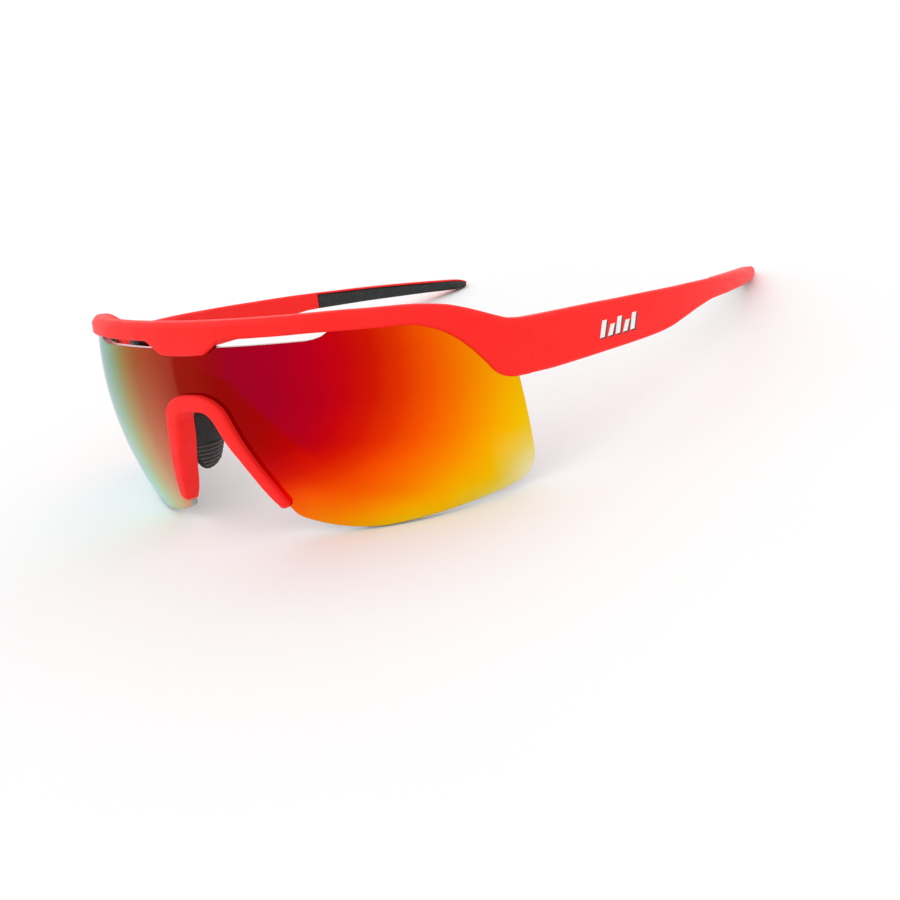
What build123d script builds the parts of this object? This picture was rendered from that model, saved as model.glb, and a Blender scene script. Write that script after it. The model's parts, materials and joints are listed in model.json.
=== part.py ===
from build123d import *
import os
from math import sin, cos, tan, radians, hypot

os.makedirs("parts", exist_ok=True)

# ---------------------------------------------------------------------------
# Wraparound sport sunglasses: brow bar, one-piece shield lens, clip-on nose
# piece with rubber pads, two folding temples on screwed three-barrel hinges.
# Millimetres, +Z up.  The shape is laid out in the wearer's frame (front to
# -Y, temples to +Y, bar top near z = 0) and every plane is carried into the
# resting pose, lens lobes and temple tips on z = 0, by rest_tilt.
# ---------------------------------------------------------------------------

# resting pose: tilt about X and shift that puts the lowest points on z = 0
rest_tilt = 13.351
rest_shift_y = -73.609
rest_shift_z = 51.786

# plan view of the bar's rear top edge: heading (degrees) against arc length
plan_s = [0, 12, 24, 36, 48, 60, 70, 80, 94.7, 114.2, 138.6, 163.0, 187.4, 204.9]
plan_heading = [0, 6.2, 14.1, 25.2, 36.7, 48.9, 58.7, 67.5, 78.4, 86.0, 93.6, 104.4, 113.9, 120.2]

# hinge parting line along the plan curve, and the gap there
joint_s = 81.0
joint_gap = 0.4

# shield lens
lens_thickness = 1.8
lens_face = ([0, 10, 20, 30, 40, 50, 76.5], [-1.75, -1.65, -1.33, -0.83, -0.38, -0.13, 0.0])   # front face outboard of the plan curve at z = -8
lens_rake = 10.0           # lean of the lens, bottom edge to the rear
lens_swell = 0.188         # outward slope of the vertical bulge at z = -8
lens_bow = 0.0128          # its curvature, 1/mm
lens_clearance = 0.06
lens_end_z = [-52, -41, -36.3, -30, -21, -14, -8, -1]
lens_end_s = [76.1, 76.4, 77.0, 77.15, 77.0, 76.8, 76.8, 76.8]
lens_bottom = [(16, -44.4), (17.8, -45.4), (21.5, -46.5), (25.2, -47.3), (32.7, -48.4), (40.1, -48.45), (47.4, -47.5),
               (54.5, -46.3), (61.6, -44.8), (68.8, -43.15), (72.5, -42.0), (74.0, -41.25), (75.1, -40.4),
               (75.8, -39.5), (76.4, -38.5), (76.8, -37.4), (77.1, -36.3), (79, -28.0), (86, -24), (94, -20)]
lens_top = [(-1, -3.3), (10.2, -3.3), (11.6, -6.15), (18, -6.0), (24.7, -5.85), (35.7, -5.65), (38.1, -5.1), (39.6, -4.4), (40.8, -3.1),
            (50, -3.1), (56, -3.2), (60, -3.7), (64.0, -4.9), (67, -6.6), (69.4, -9.2), (71.2, -12.3), (72.2, -14.6), (73.2, -16.0), (75, -16.8), (80, -17.4)]
notch = [(0, -18.6), (4.6, -18.9), (6.8, -20.1), (8.2, -22.4), (9.2, -26.0), (10.4, -29.0), (12.4, -32.4),
         (14.4, -36.6), (16.6, -41.0), (17.8, -43.5), (18.5, -45.2), (19.0, -60), (0, -60)]

# brow bar and end pieces, against arc length
bar_front = ([0, 10, 20, 30, 40, 48, 56, 62, 66, 70, 74, 77.5, 80.8], [-0.6, -0.5, -0.2, 0.2, 0.5, 0.7, 1.1, 1.45, 1.65, 1.8, 1.9, 1.95, 1.95])
bar_back = ([0, 10, 20, 30, 40, 48, 56, 62, 70, 80.8], [-4.9, -4.8, -4.5, -4.1, -3.7, -3.3, -2.9, -2.6, -2.45, -2.4])
bar_top = ([0, 12, 20, 30, 40, 50, 55.5, 58.7, 61.9, 65.1, 68.3, 71.5, 74.8, 78.2, 80.8],
           [-0.3, -0.25, -0.2, -0.1, -0.1, -0.35, -0.52, -0.72, -1.11, -1.7, -2.65, -3.87, -5.27, -6.5, -6.87])
bar_bottom = ([0, 10, 20, 30, 35, 43, 49, 55, 57.9, 60.8, 63.7, 66.5, 69.3, 72.0, 73.9, 75.8, 78, 80.8],
              [-4.5, -4.45, -4.3, -4.18, -4.1, -4.25, -4.44, -4.5, -4.77, -5.69, -7.0, -8.93, -11.64, -14.88, -17.3, -18.4, -18.75, -18.75])
bar_stations = [0, 7, 14, 21, 28, 35, 42, 48, 53, 57, 60.5, 63.3, 66.1, 68.9, 71.7, 74, 76.5, 78.6, 80.8]
bevel = 1.25
tab = [(0, -3.0), (14.4, -3.0), (12.9, -4.15), (11.2, -5.2), (9.1, -6.45), (6.95, -7.6), (3.5, -7.75), (0, -7.8)]

# temples
temple_end = 205.0
temple_out = ([81, 85, 92, 100, 120, 150, 190, 205], [1.95, 1.6, 1.15, 0.8, 0.25, 0.15, 0.2, 0.1])
temple_in = ([81, 88, 94, 100, 110, 130, 150, 156, 170, 190, 200, 205], [-2.4, -2.35, -2.2, -2.0, -1.9, -2.0, -2.3, -2.9, -3.4, -3.6, -3.2, -2.4])
temple_top = ([81, 84, 92, 100, 110, 120, 130, 140, 150, 160, 170, 180, 190, 197, 201, 203.6, 205],
              [-6.9, -6.95, -7.05, -7.2, -7.6, -8.0, -8.5, -8.95, -9.5, -10.1, -10.7, -11.4, -12.2, -12.8, -13.2, -13.7, -14.3])
temple_bottom = ([81, 86, 95, 105, 115, 122, 128, 134, 142, 150, 160, 170, 180, 190, 197, 201, 203.6, 205],
                 [-18.75, -18.8, -18.5, -18.2, -18.0, -17.8, -17.3, -16.3, -15.0, -14.35, -14.6, -14.9, -15.3, -15.7, -16.0, -16.1, -15.95, -15.5])
temple_stations = [81.2, 84, 88, 94, 100, 107, 114, 121, 128, 134, 140, 147, 153, 160, 168, 176, 184, 192, 197, 201, 203.6, 205]
grip_start = 153.0
grip_depth = ([150, 156, 190, 205], [-1.55, -1.55, -1.6, -1.5])   # parting between shell and rubber
grip_lip = 0.45            # shell edge left above the rubber

# hinges, in a frame at the parting line: u along the temple, v outboard
pin_v = -4.6
knuckle_r = 1.6
pin_r = 0.75
pin_clearance = 0.03
hinge_z = -12.85
knuckle_h = 2.4
middle_h = 2.6
washer_gap = 0.25
washer_t = 0.2
leaf_t = 0.9
leaf_v = -2.0             # outboard face of the leaves
leaf_len = 6.3
leaf_h = 7.9
screw_r = 0.6
screw_head_r = 1.05
screw_len = 2.2

# nose piece
flange_t = 1.3
flange_outer = [(0, -16.45), (4.9, -17.05), (8.8, -19.1), (10.6, -21.6), (11.4, -23.9), (12.45, -26.6), (13.9, -30.3), (15.6, -34.4),
                (17.8, -39.6), (18.5, -41.8)]
flange_inner = [(16.2, -43.1), (15.2, -41.9), (14.2, -40.4), (12.2, -36.2), (10.1, -31.8), (7.9, -28.1), (6.5, -24.2), (4.9, -21.2), (2.6, -20.5), (0, -20.4)]
wall_outer = [(0, -18.9), (4.3, -19.25), (6.3, -20.5), (7.7, -22.7), (8.7, -26.2), (9.9, -29.4), (11.9, -32.8), (13.9, -37.0), (15.9, -41.0)]
wall_rear = [(6.5, -21.8), (8.0, -28.4), (10.0, -36.2), (11.2, -41.5)]   # rear edge of the walls, from above
pad_side = [(5.9, -21), (14.5, -21), (18.4, -22.8), (20.3, -26), (20.7, -30), (20.2, -33.2), (18.8, -35.6), (15.6, -37.1),
            (13.2, -37.1), (10.9, -35.7), (9.2, -33.6), (7.8, -31.0), (6.6, -26)]

# temple mark: slanted bars (arc length of the foot, lean, foot z, head z)
mark_bars = [(101.0, -15.0, -11.4), (103.6, -15.0, -12.6), (106.2, -15.0, -11.4), (108.8, -15.0, -12.6), (111.4, -15.0, -11.4)]
mark_width = 1.5
mark_lean = 1.3


# ---------------------------------------------------------------------------
# curve helpers
# ---------------------------------------------------------------------------
def slopes(xs, ys):
    h = [xs[i + 1] - xs[i] for i in range(len(xs) - 1)]
    d = [(ys[i + 1] - ys[i]) / h[i] for i in range(len(h))]
    m = [d[0]]
    for i in range(1, len(h)):
        if d[i - 1] * d[i] <= 0:
            m.append(0.0)
        else:
            w1, w2 = 2 * h[i] + h[i - 1], h[i] + 2 * h[i - 1]
            m.append((w1 + w2) / (w1 / d[i - 1] + w2 / d[i]))
    m.append(d[-1])
    return m


def curve(xs, ys):
    m = slopes(xs, ys)

    def value(x):
        x = min(max(x, xs[0]), xs[-1])
        i = 0
        while i < len(xs) - 2 and x > xs[i + 1]:
            i += 1
        h = xs[i + 1] - xs[i]
        t = (x - xs[i]) / h
        return ((2 * t**3 - 3 * t**2 + 1) * ys[i] + (t**3 - 2 * t**2 + t) * h * m[i]
                + (-2 * t**3 + 3 * t**2) * ys[i + 1] + (t**3 - t**2) * h * m[i + 1])
    return value


heading_of = curve(plan_s, plan_heading)
STEP = 0.5
PATH = [(0.0, 0.0)]
for i in range(int(210 / STEP)):
    ang = radians(heading_of((i + 0.5) * STEP))
    PATH.append((PATH[-1][0] + STEP * cos(ang), PATH[-1][1] + STEP * sin(ang)))


def path(s):
    """point and heading (radians) of the plan curve at signed arc length s"""
    q = abs(s) / STEP
    i = min(int(q), len(PATH) - 2)
    f = q - i
    x = PATH[i][0] + f * (PATH[i + 1][0] - PATH[i][0])
    y = PATH[i][1] + f * (PATH[i + 1][1] - PATH[i][1])
    ang = radians(heading_of(abs(s)))
    return (x, y, ang) if s >= 0 else (-x, y, -ang)


CT, ST = cos(radians(rest_tilt)), sin(radians(rest_tilt))


def turn(v):
    x, y, z = v
    return (x, y * CT + z * ST, -y * ST + z * CT)


def rest(p):
    x, y, z = turn(p)
    return (x, y + rest_shift_y, z + rest_shift_z)


def carried(origin, x_dir, z_dir):
    return Plane(origin=rest(origin), x_dir=turn(x_dir), z_dir=turn(z_dir))


def section_plane(s):
    """plane across the plan curve: local x outboard, local y up"""
    x, y, a = path(s)
    return carried((x, y, 0), (sin(a), -cos(a), 0), (-cos(a), -sin(a), 0))


def level(z):
    return carried((0, 0, z), (1, 0, 0), (0, 0, 1))


def front_plane(y):
    """vertical plane seen from the front: local x to the wearer's left, local y up"""
    return carried((0, y, 0), (1, 0, 0), (0, -1, 0))


JX, JY, JA = path(joint_s)


def joint_point(u, v, z):
    return (JX + u * cos(JA) + v * sin(JA), JY + u * sin(JA) - v * cos(JA), z)


def joint_level(z):
    """horizontal plane at the left parting line: local x = u, local y = -v"""
    return carried((JX, JY, z), (cos(JA), sin(JA), 0), (0, 0, 1))


def joint_face(v):
    """plane facing outboard at the left parting line: local x = -u, local y up"""
    return carried(joint_point(0, v, 0), (-cos(JA), -sin(JA), 0), (-sin(JA), cos(JA), 0))


lens_end = curve(lens_end_z, lens_end_s)
face_of = curve(*lens_face)


def lens_point(s, z, out=0.0):
    """point of the lens front surface, moved outboard by out"""
    x, y, a = path(s)
    dz = -(z + 8)
    n = face_of(abs(s)) + lens_swell * dz - lens_bow * dz * dz / 2 + out
    return (x + n * sin(a), y - n * cos(a) + tan(radians(lens_rake)) * dz)


def band(z, out_front, out_back, end):
    """closed outline of a lens-parallel sheet at height z"""
    n = 22
    ss = [-end + 2 * end * i / n for i in range(n + 1)]
    front = [lens_point(s, z, out_front) for s in ss]
    back = [lens_point(s, z, out_back) for s in reversed(ss)]
    with BuildSketch(level(z)) as outline:
        with BuildLine():
            a = Spline(*front)
            b = Spline(*back)
            Line(a @ 1, b @ 0)
            Line(b @ 1, a @ 0)
        make_face()
    return outline


def both(points):
    """outline mirrored about the middle, from points with x >= 0 that start and end on the middle"""
    left = [(-x, z) for x, z in reversed(points) if x > 0]
    return points + left


def edge_plane(s, z):
    x, y = lens_point(s, z)
    a = path(s)[2]
    return carried((x, y, z), (sin(a), -cos(a), 0), (-cos(a), -sin(a), 0))


# ---------------------------------------------------------------------------
# shield lens: raked, bowed sheet trimmed square to its surface
# ---------------------------------------------------------------------------
lens_levels = [-52, -44, -35, -26, -17, -9, -1]

with BuildPart() as lens_below:
    for s, z in lens_bottom:
        with BuildSketch(edge_plane(s, z)):
            Polygon((-14, -36), (9, -36), (9, 0), (-14, 0), align=None)
    loft(ruled=True)

with BuildPart() as lens_above:
    for s, z in lens_top:
        with BuildSketch(edge_plane(s, z)):
            Polygon((-8, 0), (7, 0), (7, 30), (-8, 30), align=None)
    loft(ruled=True)

with BuildPart() as lens_groove_above:
    for s, z in lens_top:
        with BuildSketch(edge_plane(s, z + 0.12)):
            Polygon((-8, 0), (7, 0), (7, 30), (-8, 30), align=None)
    loft(ruled=True)

with BuildPart() as notch_cut:
    with BuildSketch(front_plane(60)):
        Polygon(*both(notch), align=None)
    extrude(amount=90)

with BuildPart() as shield_lens:
    for z in lens_levels:
        add(band(z, 0, -lens_thickness, lens_end(z)).sketch)
    loft()
    add(lens_below.part, mode=Mode.SUBTRACT)
    mirror(lens_below.part, about=Plane.YZ, mode=Mode.SUBTRACT)
    add(lens_above.part, mode=Mode.SUBTRACT)
    mirror(lens_above.part, about=Plane.YZ, mode=Mode.SUBTRACT)
    add(notch_cut.part, mode=Mode.SUBTRACT)

with BuildPart() as lens_groove:
    for z in lens_levels:
        add(band(z, lens_clearance, -lens_thickness - lens_clearance, lens_end(z) + 0.15).sketch)
    loft()
    add(lens_groove_above.part, mode=Mode.SUBTRACT)
    mirror(lens_groove_above.part, about=Plane.YZ, mode=Mode.SUBTRACT)

# sheet standing on the lens face, from which the tab and the nose flange are cut
with BuildPart() as face_sheet:
    for z in [-50, -40, -28, -16, -8, -1]:
        add(band(z, lens_clearance + flange_t, lens_clearance, 26).sketch)
    loft()

# ---------------------------------------------------------------------------
# hinge hardware, left side: u < 0 is the front, u > 0 the temple
# ---------------------------------------------------------------------------
z_low = hinge_z - middle_h / 2 - washer_gap - knuckle_h
z_mid = hinge_z - middle_h / 2
z_high = hinge_z + middle_h / 2 + washer_gap
z_top = z_high + knuckle_h
axis_y = -pin_v
leaf_near = 2.0
screw_at = [(leaf_near + 3.3, hinge_z - 2.2), (leaf_near + 3.3, hinge_z + 2.2)]


def arm(sign):
    """knuckle arm outline, from the leaf to the barrel"""
    pts = [(2.7, 2.0), (2.0, 2.0), (0.25, 2.9), (0.0, 3.1), (0.0, axis_y), (1.4, axis_y), (2.7, 2.9)]
    return [(sign * u, v) for u, v in pts]


with BuildPart() as front_leaf_screws_left:
    for u, w in screw_at:
        with BuildSketch(joint_face(leaf_v - leaf_t)):
            with Locations((u, w)):
                Circle(screw_r)
        extrude(amount=-screw_len)
        with BuildSketch(joint_face(leaf_v - leaf_t)):
            with Locations((u, w)):
                Circle(screw_head_r)
        extrude(amount=-(screw_head_r - screw_r), taper=45)
        with BuildSketch(joint_face(leaf_v - leaf_t)):
            with Locations((u, w)):
                Rectangle(3, 0.3, rotation=35)
        extrude(amount=-0.25, mode=Mode.SUBTRACT)

with BuildPart() as temple_leaf_screws_left:
    for u, w in screw_at:
        with BuildSketch(joint_face(leaf_v - leaf_t)):
            with Locations((-u, w)):
                Circle(screw_r)
        extrude(amount=-screw_len)
        with BuildSketch(joint_face(leaf_v - leaf_t)):
            with Locations((-u, w)):
                Circle(screw_head_r)
        extrude(amount=-(screw_head_r - screw_r), taper=45)
        with BuildSketch(joint_face(leaf_v - leaf_t)):
            with Locations((-u, w)):
                Rectangle(3, 0.3, rotation=-20)
        extrude(amount=-0.25, mode=Mode.SUBTRACT)

with BuildPart() as hinge_front_leaf_left:
    with BuildSketch(joint_face(leaf_v)):
        with Locations((leaf_near + leaf_len / 2, hinge_z)):
            RectangleRounded(leaf_len, leaf_h, 1.0)
    extrude(amount=leaf_t)
    for z0 in (z_low, z_high):
        with BuildSketch(joint_level(z0)):
            Polygon(*arm(-1), align=None)
            with Locations((0, axis_y)):
                Circle(knuckle_r)
        extrude(amount=knuckle_h)
    with BuildSketch(joint_level(z_low - 1)):
        with Locations((0, axis_y)):
            Circle(pin_r + pin_clearance)
    extrude(amount=12, mode=Mode.SUBTRACT)
    for u, w in screw_at:
        with BuildSketch(joint_face(leaf_v - leaf_t)):
            with Locations((u, w)):
                Circle(screw_r)
        extrude(amount=-screw_len, mode=Mode.SUBTRACT)
        with BuildSketch(joint_face(leaf_v - leaf_t)):
            with Locations((u, w)):
                Circle(screw_head_r)
        extrude(amount=-(screw_head_r - screw_r), taper=45, mode=Mode.SUBTRACT)

with BuildPart() as hinge_temple_leaf_left:
    with BuildSketch(joint_face(leaf_v)):
        with Locations((-leaf_near - leaf_len / 2, hinge_z)):
            RectangleRounded(leaf_len, leaf_h, 1.0)
    extrude(amount=leaf_t)
    with BuildSketch(joint_level(z_mid)):
        Polygon(*arm(1), align=None)
        with Locations((0, axis_y)):
            Circle(knuckle_r)
    extrude(amount=middle_h)
    with BuildSketch(joint_level(z_low - 1)):
        with Locations((0, axis_y)):
            Circle(pin_r + pin_clearance)
    extrude(amount=12, mode=Mode.SUBTRACT)
    for u, w in screw_at:
        with BuildSketch(joint_face(leaf_v - leaf_t)):
            with Locations((-u, w)):
                Circle(screw_r)
        extrude(amount=-screw_len, mode=Mode.SUBTRACT)
        with BuildSketch(joint_face(leaf_v - leaf_t)):
            with Locations((-u, w)):
                Circle(screw_head_r)
        extrude(amount=-(screw_head_r - screw_r), taper=45, mode=Mode.SUBTRACT)

with BuildPart() as hinge_screw_left:
    with BuildSketch(joint_level(z_low - 0.4)):
        with Locations((0, axis_y)):
            Circle(pin_r)
    extrude(amount=z_top - z_low + 0.4)
    with BuildSketch(joint_level(z_top)):
        with Locations((0, axis_y)):
            Circle(knuckle_r - 0.2)
    extrude(amount=0.7)
    with BuildSketch(joint_level(z_top + 0.4)):
        with Locations((0, axis_y)):
            Rectangle(4, 0.4, rotation=30)
    extrude(amount=1, mode=Mode.SUBTRACT)

with BuildPart() as hinge_washers_left:
    for z0 in (z_mid - washer_gap, z_mid + middle_h):
        with BuildSketch(joint_level(z0 + (washer_gap - washer_t) / 2)):
            with Locations((0, axis_y)):
                Circle(knuckle_r - 0.1)
                Circle(pin_r + 0.05, mode=Mode.SUBTRACT)
        extrude(amount=washer_t)

# seats for the leaves, open on the inboard side, and the screw holes
with BuildPart() as front_seat:
    with BuildSketch(joint_face(leaf_v)):
        with Locations(((leaf_near + leaf_len) / 2, hinge_z)):
            Rectangle(leaf_near + leaf_len + 0.1, leaf_h + 0.1)
    extrude(amount=6)
    for u, w in screw_at:
        with BuildSketch(joint_face(leaf_v - leaf_t)):
            with Locations((u, w)):
                Circle(screw_r)
        extrude(amount=-screw_len)

with BuildPart() as temple_seat:
    with BuildSketch(joint_face(leaf_v)):
        with Locations((-(leaf_near + leaf_len) / 2, hinge_z)):
            Rectangle(leaf_near + leaf_len + 0.1, leaf_h + 0.1)
    extrude(amount=6)
    for u, w in screw_at:
        with BuildSketch(joint_face(leaf_v - leaf_t)):
            with Locations((-u, w)):
                Circle(screw_r)
        extrude(amount=-screw_len)

# ---------------------------------------------------------------------------
# front frame
# ---------------------------------------------------------------------------
f_front, f_back = curve(*bar_front), curve(*bar_back)
f_top, f_bottom = curve(*bar_top), curve(*bar_bottom)


def bar_section(s):
    xf, xb, zt, zb = f_front(s), f_back(s), f_top(s), f_bottom(s)
    return [(xb + 0.5, zb), (xb, zb + 0.5), (xb, zt - 0.9), (xb + 0.6, zt), (xf - bevel, zt),
            (xf, zt - bevel), (xf, zb + 0.5), (xf - 0.5, zb)]


with BuildPart() as tab_plate:
    with BuildSketch(front_plane(20)):
        Polygon(*both(tab), align=None)
    extrude(amount=40)
    add(face_sheet.part, mode=Mode.INTERSECT)

with BuildPart() as front_frame:
    for s in bar_stations:
        with BuildSketch(section_plane(s)):
            Polygon(*bar_section(s), align=None)
    loft()
    mirror(about=Plane.YZ)
    add(lens_groove.part, mode=Mode.SUBTRACT)
    add(front_seat.part, mode=Mode.SUBTRACT)
    mirror(front_seat.part, about=Plane.YZ, mode=Mode.SUBTRACT)
    add(tab_plate.part)


# ---------------------------------------------------------------------------
# nose piece: flange on the lens face, walls through the notch, rubber pads
# ---------------------------------------------------------------------------
with BuildPart() as flange:
    with BuildSketch(front_plane(40)):
        Polygon(*both(flange_outer + flange_inner), align=None)
    extrude(amount=60)
    add(face_sheet.part, mode=Mode.INTERSECT)


def side_plane(x):
    """vertical plane along the glasses: local x to the rear, local y up"""
    return carried((x, 0, 0), (0, 1, 0), (1, 0, 0))


def lens_front_y(z):
    return lens_point(0, z)[1]


with BuildPart() as nose_bridge:
    with BuildSketch(front_plane(40)):
        Polygon(*both(wall_outer + flange_inner[1:]), align=None)
    extrude(amount=60)
    with BuildSketch(side_plane(-20)):
        Polygon((lens_front_y(-17) - 0.9, -17), (5.6, -17), *wall_rear, (11.8, -46),
                (lens_front_y(-46), -46), (lens_front_y(-30) - 0.6, -30), align=None)
    extrude(amount=40, mode=Mode.INTERSECT)
    add(flange.part)

pad_top, pad_bottom = (6.5, -22.6), (13.4, -38.2)
pad_len = hypot(pad_bottom[0] - pad_top[0], pad_bottom[1] - pad_top[1])
pad_d = ((pad_bottom[0] - pad_top[0]) / pad_len, (pad_bottom[1] - pad_top[1]) / pad_len)
pad_n = (-pad_d[1], pad_d[0])


def pad_outline(shift, grow):
    corners = [(-grow, -0.9), (pad_len + grow, -0.9), (pad_len + grow, 2.3), (-grow, 2.3)]
    return [(pad_top[0] + d * pad_d[0] + (n + shift) * pad_n[0], pad_top[1] + d * pad_d[1] + (n + shift) * pad_n[1])
            for d, n in corners]


with BuildPart() as nose_pad_left:
    for y, shift in ((5.0, -0.2), (13.5, 0.0), (22.0, 3.4)):
        with BuildSketch(front_plane(y)):
            Polygon(*pad_outline(shift, 0), align=None)
    loft()
    with BuildSketch(side_plane(0)):
        Polygon(*pad_side, align=None)
    extrude(amount=30, mode=Mode.INTERSECT)
    add(nose_bridge.part, mode=Mode.SUBTRACT)

# ---------------------------------------------------------------------------
# temples: red shell outside, rubber grip on the inner face and tip
# ---------------------------------------------------------------------------
t_out, t_in, t_top, t_bottom = curve(*temple_out), curve(*temple_in), curve(*temple_top), curve(*temple_bottom)
t_grip = curve(*grip_depth)


def temple_section(s):
    xo, xi, zt, zb = t_out(s), t_in(s), t_top(s), t_bottom(s)
    c = min(0.8, 0.22 * (xo - xi), 0.25 * (zt - zb))
    return [(xi + c, zb), (xi, zb + c), (xi, zt - c), (xi + c, zt), (xo - c, zt), (xo, zt - c), (xo, zb + c), (xo - c, zb)]


with BuildPart() as temple_body:
    for s in temple_stations:
        with BuildSketch(section_plane(s)):
            Polygon(*temple_section(s), align=None)
    loft()

with BuildPart() as grip_space:
    for s in [grip_start, 160, 168, 176, 184, 192, 198, 202, 207]:
        with BuildSketch(section_plane(s)):
            Polygon((-9, t_bottom(s) - 4), (t_grip(s), t_bottom(s) - 4), (t_grip(s), t_top(s) - grip_lip), (-9, t_top(s) - grip_lip), align=None)
    loft()

with BuildPart() as mark_skin:
    for s in [96, 100, 104, 108, 112, 117]:
        with BuildSketch(section_plane(s)):
            Polygon((t_out(s) - 0.25, -17), (t_out(s) + 0.08, -17), (t_out(s) + 0.08, -9.2), (t_out(s) - 0.25, -9.2), align=None)
    loft()

MX, MY, MA = path(107)
mark_plane = carried((MX, MY, 0), (cos(MA), sin(MA), 0), (sin(MA), -cos(MA), 0))
with BuildPart() as temple_mark_left:
    with BuildSketch(mark_plane.offset(-4)):
        for s, z0, z1 in mark_bars:
            u = s - 107
            Polygon((u, z0), (u + mark_width, z0), (u + mark_width + mark_lean, z1), (u + mark_lean, z1), align=None)
    extrude(amount=9)
    add(mark_skin.part, mode=Mode.INTERSECT)

with BuildPart() as temple_left:
    add(temple_body.part)
    add(grip_space.part, mode=Mode.SUBTRACT)
    add(temple_seat.part, mode=Mode.SUBTRACT)
    add(temple_mark_left.part, mode=Mode.SUBTRACT)

with BuildPart() as temple_grip_left:
    add(temple_body.part)
    add(grip_space.part, mode=Mode.INTERSECT)

# ---------------------------------------------------------------------------
# right-hand pieces
# ---------------------------------------------------------------------------
with BuildPart() as nose_pad_right:
    mirror(nose_pad_left.part, about=Plane.YZ)
with BuildPart() as temple_right:
    mirror(temple_left.part, about=Plane.YZ)
with BuildPart() as temple_grip_right:
    mirror(temple_grip_left.part, about=Plane.YZ)
with BuildPart() as temple_mark_right:
    mirror(temple_mark_left.part, about=Plane.YZ)
with BuildPart() as hinge_front_leaf_right:
    mirror(hinge_front_leaf_left.part, about=Plane.YZ)
with BuildPart() as hinge_temple_leaf_right:
    mirror(hinge_temple_leaf_left.part, about=Plane.YZ)
with BuildPart() as hinge_screw_right:
    mirror(hinge_screw_left.part, about=Plane.YZ)
with BuildPart() as hinge_washers_right:
    mirror(hinge_washers_left.part, about=Plane.YZ)
with BuildPart() as front_leaf_screws_right:
    mirror(front_leaf_screws_left.part, about=Plane.YZ)
with BuildPart() as temple_leaf_screws_right:
    mirror(temple_leaf_screws_left.part, about=Plane.YZ)

# ---------------------------------------------------------------------------
# labels and files
# ---------------------------------------------------------------------------
front_frame.part.label = "front_frame"
shield_lens.part.label = "shield_lens"
nose_bridge.part.label = "nose_bridge"
nose_pad_left.part.label = "nose_pad_left"
nose_pad_right.part.label = "nose_pad_right"
temple_left.part.label = "temple_left"
temple_right.part.label = "temple_right"
temple_grip_left.part.label = "temple_grip_left"
temple_grip_right.part.label = "temple_grip_right"
temple_mark_left.part.label = "temple_mark_left"
temple_mark_right.part.label = "temple_mark_right"
hinge_front_leaf_left.part.label = "hinge_front_leaf_left"
hinge_front_leaf_right.part.label = "hinge_front_leaf_right"
hinge_temple_leaf_left.part.label = "hinge_temple_leaf_left"
hinge_temple_leaf_right.part.label = "hinge_temple_leaf_right"
hinge_screw_left.part.label = "hinge_screw_left"
hinge_screw_right.part.label = "hinge_screw_right"
hinge_washers_left.part.label = "hinge_washers_left"
hinge_washers_right.part.label = "hinge_washers_right"
front_leaf_screws_left.part.label = "front_leaf_screws_left"
front_leaf_screws_right.part.label = "front_leaf_screws_right"
temple_leaf_screws_left.part.label = "temple_leaf_screws_left"
temple_leaf_screws_right.part.label = "temple_leaf_screws_right"

export_step(front_frame.part, "parts/front_frame.step")
export_step(shield_lens.part, "parts/shield_lens.step")
export_step(nose_bridge.part, "parts/nose_bridge.step")
export_step(nose_pad_left.part, "parts/nose_pad_left.step")
export_step(nose_pad_right.part, "parts/nose_pad_right.step")
export_step(temple_left.part, "parts/temple_left.step")
export_step(temple_right.part, "parts/temple_right.step")
export_step(temple_grip_left.part, "parts/temple_grip_left.step")
export_step(temple_grip_right.part, "parts/temple_grip_right.step")
export_step(temple_mark_left.part, "parts/temple_mark_left.step")
export_step(temple_mark_right.part, "parts/temple_mark_right.step")
export_step(hinge_front_leaf_left.part, "parts/hinge_front_leaf_left.step")
export_step(hinge_front_leaf_right.part, "parts/hinge_front_leaf_right.step")
export_step(hinge_temple_leaf_left.part, "parts/hinge_temple_leaf_left.step")
export_step(hinge_temple_leaf_right.part, "parts/hinge_temple_leaf_right.step")
export_step(hinge_screw_left.part, "parts/hinge_screw_left.step")
export_step(hinge_screw_right.part, "parts/hinge_screw_right.step")
export_step(hinge_washers_left.part, "parts/hinge_washers_left.step")
export_step(hinge_washers_right.part, "parts/hinge_washers_right.step")
export_step(front_leaf_screws_left.part, "parts/front_leaf_screws_left.step")
export_step(front_leaf_screws_right.part, "parts/front_leaf_screws_right.step")
export_step(temple_leaf_screws_left.part, "parts/temple_leaf_screws_left.step")
export_step(temple_leaf_screws_right.part, "parts/temple_leaf_screws_right.step")

print("hinge axis point", rest(joint_point(0, pin_v, hinge_z)), "direction", turn((0, 0, 1)))
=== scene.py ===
import bpy, bmesh, json, math
import numpy as np
from mathutils import Matrix, Vector


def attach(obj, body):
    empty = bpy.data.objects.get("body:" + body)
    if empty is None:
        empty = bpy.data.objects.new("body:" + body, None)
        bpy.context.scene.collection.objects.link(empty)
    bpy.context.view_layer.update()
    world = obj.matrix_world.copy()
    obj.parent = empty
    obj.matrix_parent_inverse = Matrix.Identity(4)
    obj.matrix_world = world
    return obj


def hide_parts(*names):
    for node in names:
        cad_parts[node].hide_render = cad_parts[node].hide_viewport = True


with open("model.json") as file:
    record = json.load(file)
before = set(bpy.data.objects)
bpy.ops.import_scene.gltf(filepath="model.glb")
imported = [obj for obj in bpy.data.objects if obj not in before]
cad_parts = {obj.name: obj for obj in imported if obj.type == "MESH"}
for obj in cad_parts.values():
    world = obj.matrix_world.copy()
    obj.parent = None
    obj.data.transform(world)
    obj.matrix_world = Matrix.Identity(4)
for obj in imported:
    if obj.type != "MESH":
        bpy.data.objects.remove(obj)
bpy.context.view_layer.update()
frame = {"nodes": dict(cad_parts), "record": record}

scene = bpy.context.scene
sin, cos, tan, pi = math.sin, math.cos, math.tan, math.pi

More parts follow.
